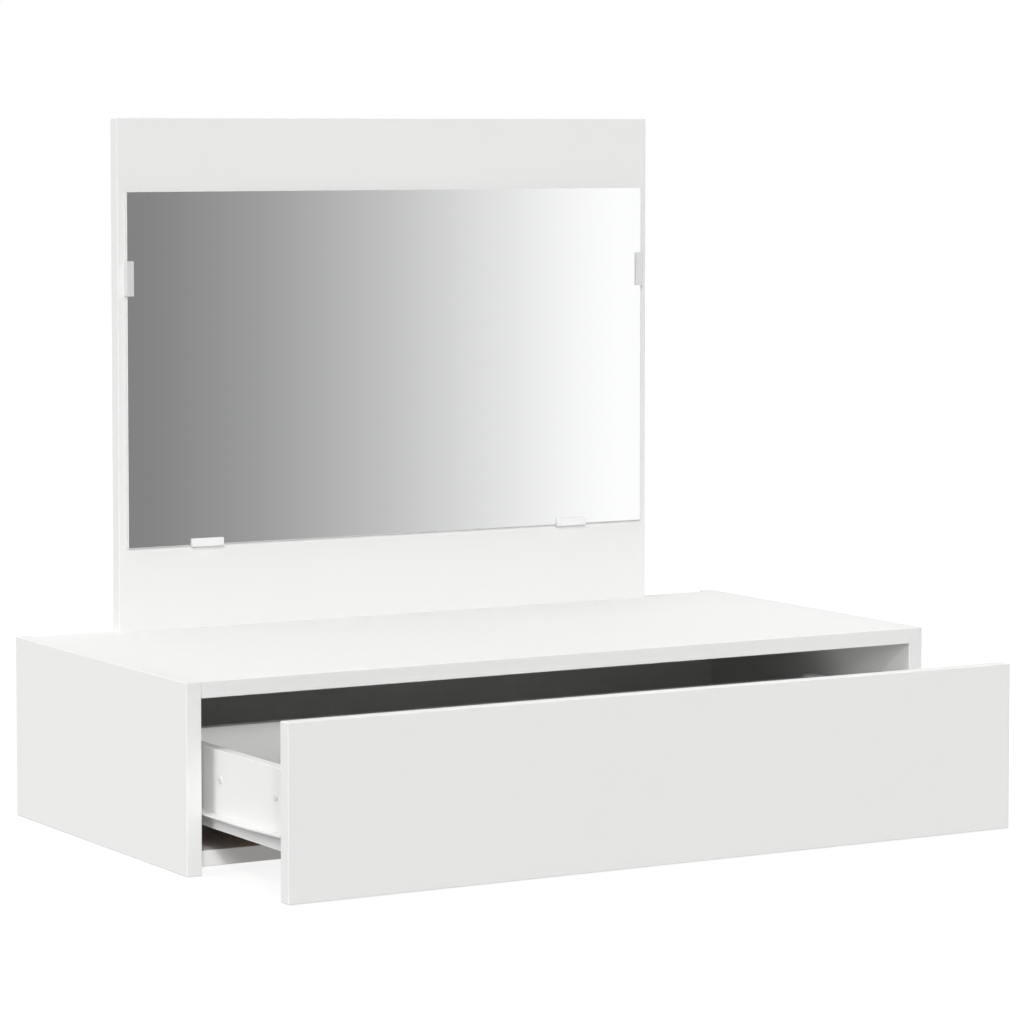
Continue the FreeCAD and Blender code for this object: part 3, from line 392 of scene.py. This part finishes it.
bpy.ops.object.select_all(action="DESELECT")
bpy.ops.mesh.primitive_plane_add(size=FLOOR_WIDTH, location=(0, 0, -FLOOR_DROP))
floor = bpy.context.object
floor.name = "floor"
floor.visible_glossy = False
floor.visible_diffuse = False
floor_white = bpy.data.materials.new("floor_white")
floor_white.use_nodes = True
tree = floor_white.node_tree
tree.nodes.clear()
glow = put(tree, "Emission", {"Color": PURE_WHITE, "Strength": FLOOR_GLOW}).outputs[0]
paint = put(tree, "BsdfDiffuse", {"Color": FLOOR_PAINT}).outputs[0]
put(tree, "OutputMaterial", {"Surface": put(tree, "AddShader", {0: glow, 1: paint}).outputs[0]})
floor.data.materials.append(floor_white)


# Surround: white to the camera. In reflections its tone changes round the room, from grey to white and
# back, as beside a studio's lamps. As soft light it has four quarters: floor and room, ahead and behind.

ROOM_LEFT, ROOM_RIGHT = -40, 100
ROOM_TONES = ((ROOM_LEFT, 0.55), (0, 0.33), (20, 0.21), (24.9, 0.23), (26.6, 0.35), (28.3, 0.54), (30, 0.8),
              (31.5, 1.03), (34, 0.97), (44, 0.42), (60, 0.35), (ROOM_RIGHT, 0.9))
FLOOR_AHEAD, FLOOR_BEHIND = 0.62, 0.4
ROOM_AHEAD, ROOM_BEHIND = 0.05, 0.95
FORWARD_FADE = 0.3
HORIZON_FADE = 0.15


def fade(tree, value, reach, first, second):
    """First value below minus reach, second above reach, and a straight fade between."""
    node = put(tree, "MapRange", {"Value": value, "From Min": -reach, "From Max": reach,
                                  "To Min": first, "To Max": second})
    return node.outputs["Result"]


def room_light(tree, colour, strength):
    """Light of one colour and strength from the surround."""
    return put(tree, "Background", {"Color": colour, "Strength": strength}).outputs[0]


def mix_light(tree, mask, first, second):
    """First light where the mask is 0, second where it is 1."""
    return put(tree, "MixShader", {0: mask, 1: first, 2: second}).outputs[0]


world = bpy.data.worlds.new("studio")
bpy.context.scene.world = world
world.use_nodes = True
tree = world.node_tree
tree.nodes.clear()
rightward, rearward, upward = split(tree, put(tree, "TexCoord", {}).outputs["Generated"])

turn = reckon(tree, "ARCTAN2", rightward, reckon(tree, "MULTIPLY", rearward, -1.0))
share = put(tree, "MapRange", {"Value": turn, "From Min": radians(ROOM_LEFT),
                               "From Max": radians(ROOM_RIGHT)}).outputs["Result"]
ramp = put(tree, "ValToRGB", {"Fac": share})
stops = ramp.color_ramp.elements
while len(stops) < len(ROOM_TONES):
    stops.new(0.5)
for stop, (azimuth, tone) in zip(stops, ROOM_TONES):
    stop.position = (azimuth - ROOM_LEFT) / (ROOM_RIGHT - ROOM_LEFT)
    stop.color = (tone, tone, tone, 1)

from_floor = fade(tree, rearward, FORWARD_FADE, FLOOR_AHEAD, FLOOR_BEHIND)
from_room = fade(tree, rearward, FORWARD_FADE, ROOM_AHEAD, ROOM_BEHIND)
soft_light = room_light(tree, PURE_WHITE, fade(tree, upward, HORIZON_FADE, from_floor, from_room))

path = put(tree, "LightPath", {}).outputs
mirrored = reckon(tree, "MAXIMUM", path["Is Glossy Ray"], path["Is Transmission Ray"])
unseen = mix_light(tree, mirrored, soft_light, room_light(tree, ramp.outputs["Color"], 1.0))
shown = mix_light(tree, path["Is Camera Ray"], unseen, room_light(tree, PURE_WHITE, 1.0))
put(tree, "OutputWorld", {"Surface": shown})


# Lamps: four soft distant lights. A key and a lower, broader light come from the front, a little to the
# left; a wide one lights the left side, and a weak one hangs overhead.

def add_lamp(name, azimuth, elevation, strength, spread):
    """A distant lamp. Azimuth is its bearing left of the front, elevation its height, in degrees."""
    bpy.ops.object.light_add(type="SUN")
    lamp = bpy.context.object
    lamp.name = name
    lamp.rotation_euler = (radians(90 - elevation), 0, radians(-azimuth))
    lamp.data.energy = strength
    lamp.data.angle = radians(spread)


add_lamp("front_key", azimuth=28, elevation=32, strength=0.98, spread=5)
add_lamp("low_front", azimuth=16, elevation=18, strength=1.23, spread=10)
add_lamp("left_light", azimuth=86, elevation=34, strength=1.2, spread=30)
add_lamp("overhead", azimuth=0, elevation=85, strength=0.61, spread=40)


# Camera: a long lens at the photograph's bearing, about as high as the mirror board's top. It looks a
# little down, and its frame is shifted down as well, which keeps the uprights nearly straight.

CAMERA_PLACE = (-1.93894, -3.33126, 0.66216)
CAMERA_BEARING = 30.15
CAMERA_TILT = 3.657
SENSOR_WIDTH = 36
LENS = 142.41
LENS_SHIFT = -0.12

bpy.ops.object.camera_add(location=CAMERA_PLACE,
                          rotation=(radians(90 - CAMERA_TILT), 0, radians(-CAMERA_BEARING)))
camera = bpy.context.object
camera.data.sensor_width = SENSOR_WIDTH
camera.data.lens = LENS
camera.data.shift_y = LENS_SHIFT
scene = bpy.context.scene
scene.camera = camera
scene.view_settings.view_transform = "Standard"
